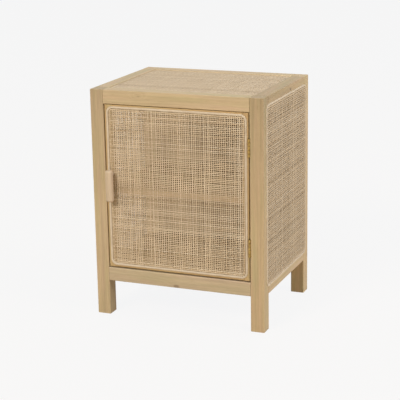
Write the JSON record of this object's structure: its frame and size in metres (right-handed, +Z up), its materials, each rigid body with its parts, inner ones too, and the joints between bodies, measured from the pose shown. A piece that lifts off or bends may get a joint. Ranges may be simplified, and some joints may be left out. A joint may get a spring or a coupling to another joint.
{
  "type": "storage side table",
  "caption": "Small wooden side cabinet on square legs, with woven cane on its door, sides and top, an inset side-hung door with a short upright pull, and a shelf inside.",
  "frame": {"origin": "on the floor, at the middle of the whole outline seen from above, the handle included", "axes": "+Z up; the door faces -Y; +X to the right seen from the front, the side that the hinges are on"},
  "size_m": [0.453, 0.375, 0.58],
  "materials": {
    "frame_wood": "pale honey, clear matt",
    "panel_wood": "pale veneered board, matt",
    "cane": "natural cane, satin",
    "spline": "pale reed, satin",
    "handle_wood": "smooth, matt",
    "brass": "plain brass",
    "steel": "zinc-plated",
    "catch_plastic": "matt",
    "magnet": "ferrite, matt"
  },
  "bodies": {
    "cabinet": {"front_left_leg": "frame_wood", "front_right_leg": "frame_wood", "back_left_leg": "frame_wood", "back_right_leg": "frame_wood", "front_top_rail": "frame_wood", "back_top_rail": "frame_wood", "left_top_rail": "frame_wood", "right_top_rail": "frame_wood", "front_bottom_rail": "frame_wood", "back_bottom_rail": "frame_wood", "left_bottom_rail": "frame_wood", "right_bottom_rail": "frame_wood", "frame_dowels": "frame_wood", "left_webbing": "cane", "right_webbing": "cane", "top_webbing": "cane", "left_spline": "spline", "right_spline": "spline", "top_board": "panel_wood", "left_top_cleat": "frame_wood", "right_top_cleat": "frame_wood", "floor_board": "panel_wood", "left_floor_cleat": "frame_wood", "right_floor_cleat": "frame_wood", "cleat_screws": "steel", "shelf": "panel_wood", "shelf_pins": "steel", "back_panel": "panel_wood", "back_panel_nails": "steel", "upper_hinge_frame_leaf": "brass", "lower_hinge_frame_leaf": "brass", "upper_hinge_pin": "brass", "lower_hinge_pin": "brass", "hinge_frame_screws": "brass", "catch_housing": "catch_plastic", "catch_magnet": "magnet", "catch_screws": "steel"},
    "door": {"door_left_stile": "frame_wood", "door_right_stile": "frame_wood", "door_top_rail": "frame_wood", "door_bottom_rail": "frame_wood", "door_dowels": "frame_wood", "door_webbing": "cane", "door_spline": "spline", "upper_hinge_door_leaf": "brass", "lower_hinge_door_leaf": "brass", "hinge_door_screws": "brass", "handle_bar": "handle_wood", "handle_upper_post": "handle_wood", "handle_lower_post": "handle_wood", "handle_screws": "steel", "strike_plate": "steel", "strike_screw": "steel"}
  },
  "joints": [
    {"name": "door_hinge", "type": "hinge", "parent": "cabinet", "child": "door", "pos_m": [0.1885, -0.1625, 0.335], "axis": [0, 0, 1], "range_deg": [0, 175]}
  ]
}
